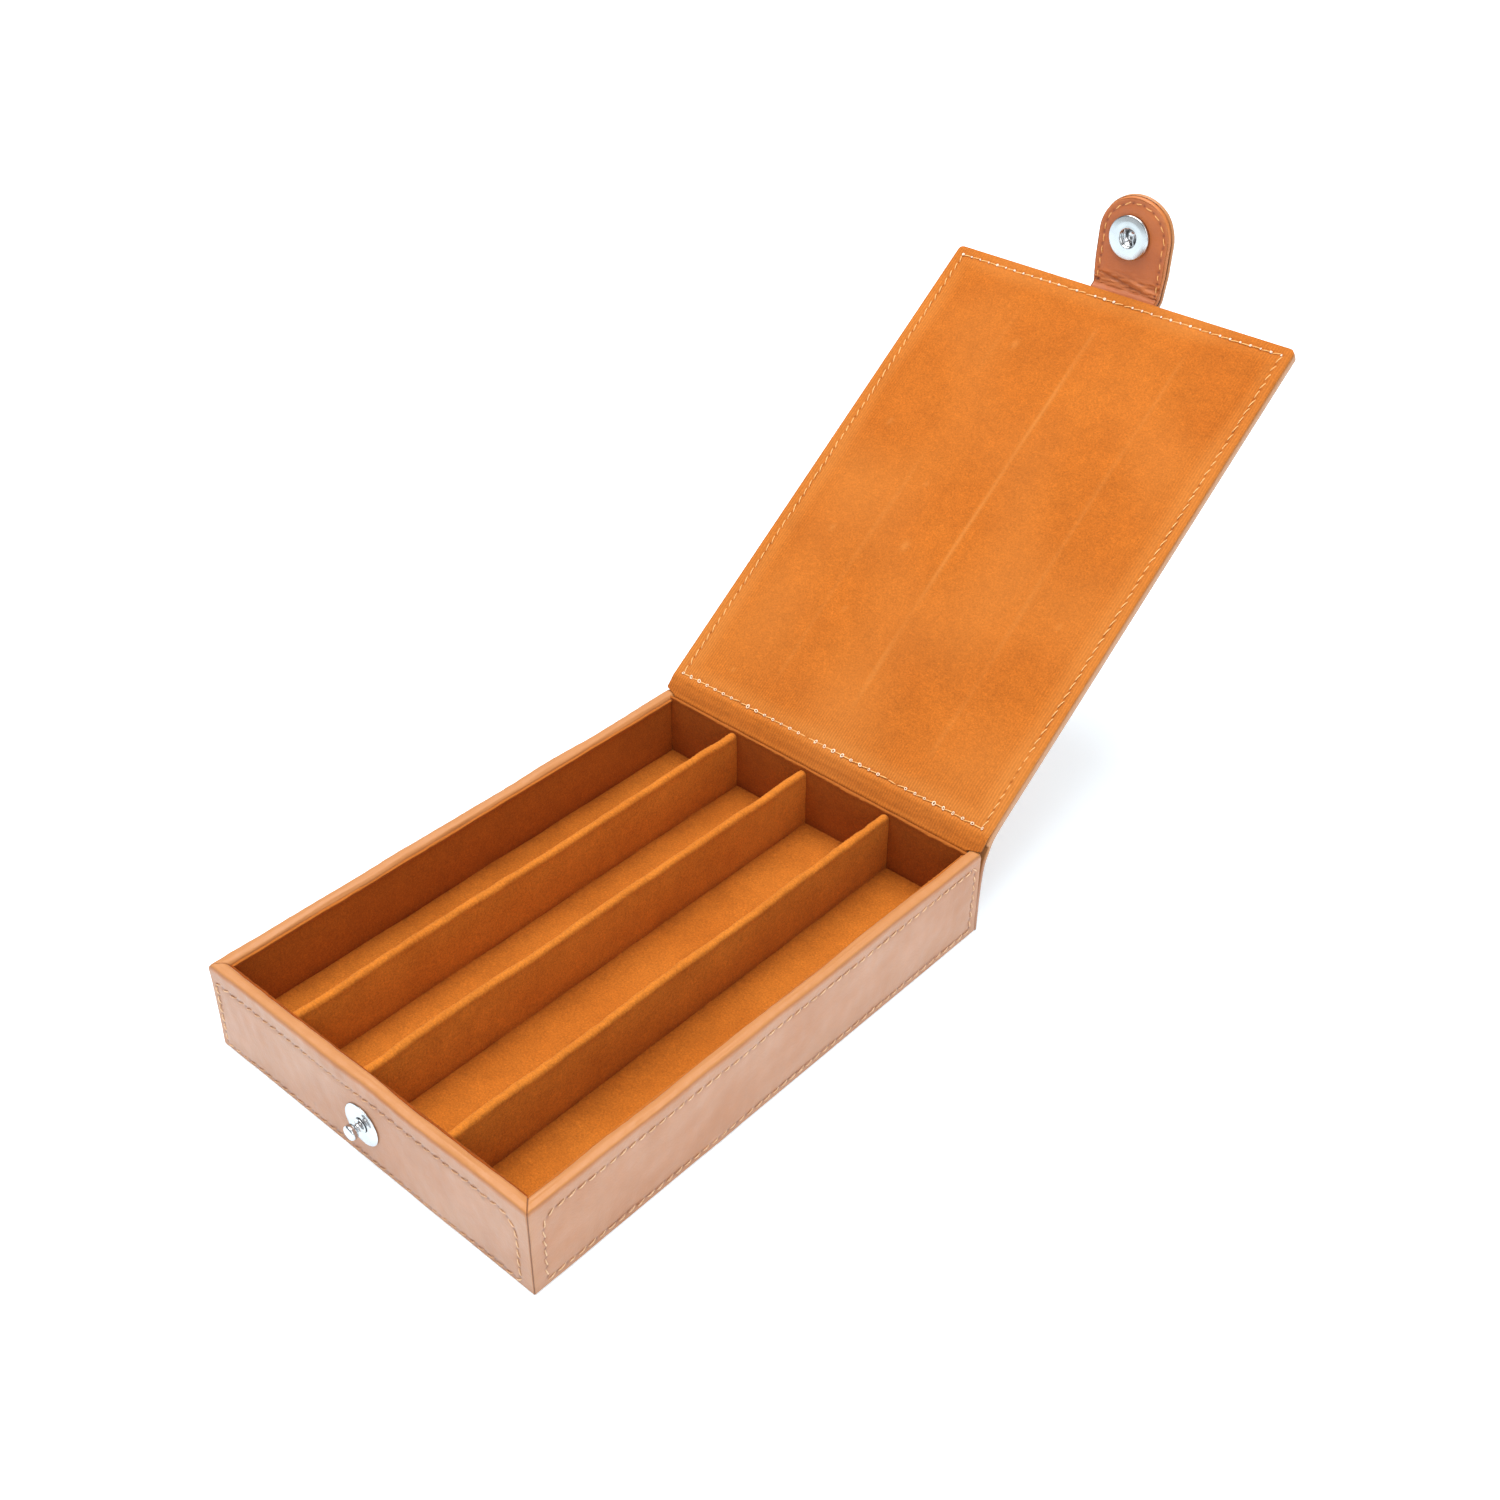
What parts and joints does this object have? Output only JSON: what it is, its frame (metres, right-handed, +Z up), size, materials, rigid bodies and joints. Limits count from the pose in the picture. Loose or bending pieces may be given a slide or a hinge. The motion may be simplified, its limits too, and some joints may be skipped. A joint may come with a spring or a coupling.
{
  "type": "fountain pen case",
  "caption": "Leather-covered case for fountain pens: an open tray with suede-lined compartments, a hinged lid and a strap that fastens with a press stud.",
  "frame": {"origin": "centre of the tray's flat underside, on the surface that the case stands on", "axes": "+Z up; +X across the compartments, to the right seen from the front; +Y along the pens towards the hinge, so the press stud is on the -Y wall"},
  "size_m": [0.11, 0.292, 0.1473],
  "materials": {
    "tan_leather": "smooth tan leather with a soft satin sheen and fine pores",
    "brown_leather": "smooth mid-brown leather, creased at the bend",
    "suede": "short-napped orange-brown suede, matt",
    "board": "grey pulp board, matt",
    "foam": "soft cream padding",
    "nickel": "polished nickel plate",
    "spring_steel": "bright spring wire"
  },
  "bodies": {
    "tray": {"base_leather": "tan_leather", "front_leather": "tan_leather", "back_leather": "tan_leather", "left_leather": "tan_leather", "right_leather": "tan_leather", "base_board": "board", "front_board": "board", "back_board": "board", "left_board": "board", "right_board": "board", "floor_pad": "foam", "floor_lining": "suede", "front_lining": "suede", "back_lining": "suede", "left_lining": "suede", "right_lining": "suede", "divider_core_1": "board", "divider_core_2": "board", "divider_core_3": "board", "divider_suede_1": "suede", "divider_suede_2": "suede", "divider_suede_3": "suede", "stud_plate": "nickel", "stud_post": "nickel", "stud_washer": "nickel", "hinge_leather": "tan_leather", "hinge_lining": "suede"},
    "lid": {"lid_leather": "tan_leather", "lid_board": "board", "lid_lining": "suede", "strap_root": "brown_leather"},
    "strap": {"strap_outer": "tan_leather", "strap_inner": "brown_leather", "snap_cap": "nickel", "snap_socket": "nickel", "snap_spring": "spring_steel"}
  },
  "joints": [
    {"name": "lid_hinge", "type": "hinge", "parent": "tray", "child": "lid", "pos_m": [0, 0.078, 0.0276], "axis": [1, 0, 0], "range_deg": [-40, 144], "deforming": ["hinge_leather", "hinge_lining"]},
    {"name": "strap_fold", "type": "hinge", "parent": "lid", "child": "strap", "pos_m": [0, 0.20488, 0.12126], "axis": [1, 0, 0], "range_deg": [-66, 39], "deforming": ["strap_root", "snap_spring"]}
  ]
}
